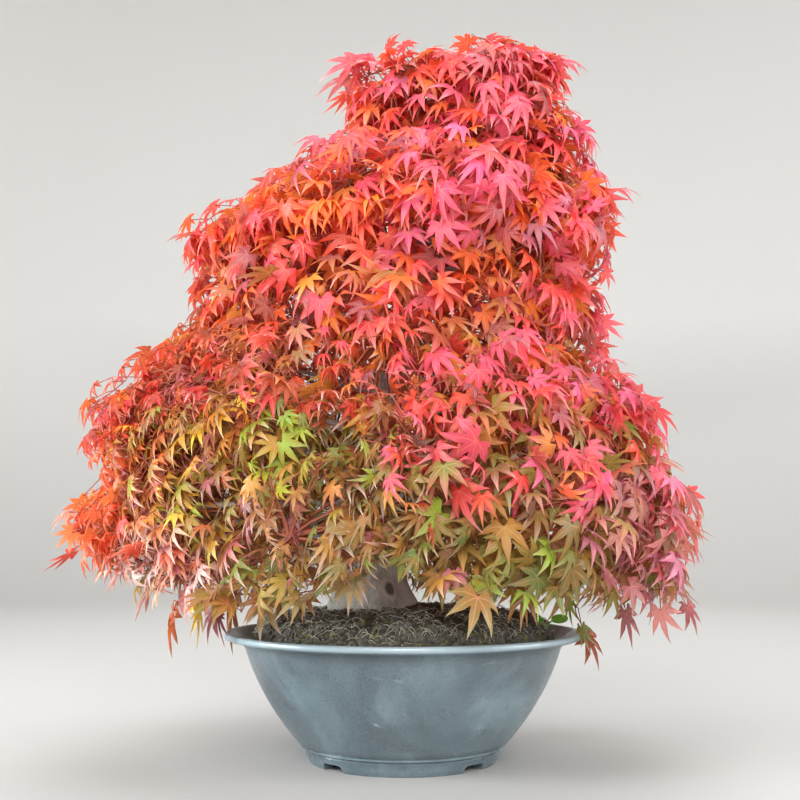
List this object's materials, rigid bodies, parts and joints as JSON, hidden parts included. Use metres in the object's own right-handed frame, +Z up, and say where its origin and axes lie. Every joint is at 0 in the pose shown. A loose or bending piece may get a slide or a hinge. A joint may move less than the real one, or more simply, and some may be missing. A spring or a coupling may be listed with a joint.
{
  "type": "japanese maple bonsai",
  "caption": "Japanese maple bonsai in autumn leaf: a dense, leaning crown of drooping leafy sprays on a pale trunk, planted in a round grey bowl pot.",
  "frame": {"origin": "on the table, under the middle of the whole width and depth; the pot's axis lies a little to +X", "axes": "+Z up, +X to the right and -Y towards the viewer in the view of the picture"},
  "size_m": [0.6848, 0.5866, 0.754],
  "materials": {
    "pot": "satin",
    "screen": "matte",
    "soil": "matte",
    "weed": "matte",
    "bark": "matte",
    "leaf_scarlet": "satin",
    "leaf_rose": "satin",
    "leaf_orange": "satin",
    "leaf_amber": "satin",
    "leaf_olive": "satin",
    "leaf_mauve": "satin"
  },
  "bodies": {
    "root": {"pot": "pot", "drain_screen": "screen", "soil": "soil", "weed": "weed", "tree": "bark", "spray_01": "leaf_amber", "spray_02": "leaf_amber", "spray_03": "leaf_mauve", "spray_04": "leaf_scarlet", "spray_05": "leaf_olive", "spray_06": "leaf_olive", "spray_07": "leaf_amber", "spray_08": "leaf_mauve", "spray_09": "leaf_amber", "spray_10": "leaf_olive", "spray_11": "leaf_olive", "spray_12": "leaf_scarlet", "spray_13": "leaf_mauve", "spray_14": "leaf_amber", "spray_15": "leaf_amber", "spray_16": "leaf_rose", "spray_17": "leaf_scarlet", "spray_18": "leaf_orange", "spray_19": "leaf_orange", "spray_20": "leaf_amber", "spray_21": "leaf_rose", "spray_22": "leaf_orange", "spray_23": "leaf_orange", "spray_24": "leaf_rose", "spray_25": "leaf_amber", "spray_26": "leaf_rose", "spray_27": "leaf_orange", "spray_28": "leaf_orange", "spray_29": "leaf_rose", "spray_30": "leaf_orange", "spray_31": "leaf_orange", "spray_32": "leaf_orange", "spray_33": "leaf_orange", "spray_34": "leaf_rose", "spray_35": "leaf_scarlet", "spray_36": "leaf_orange", "spray_37": "leaf_rose", "spray_38": "leaf_scarlet", "spray_39": "leaf_rose", "spray_40": "leaf_rose", "spray_41": "leaf_scarlet", "spray_42": "leaf_rose", "spray_43": "leaf_scarlet"}
  },
  "joints": []
}
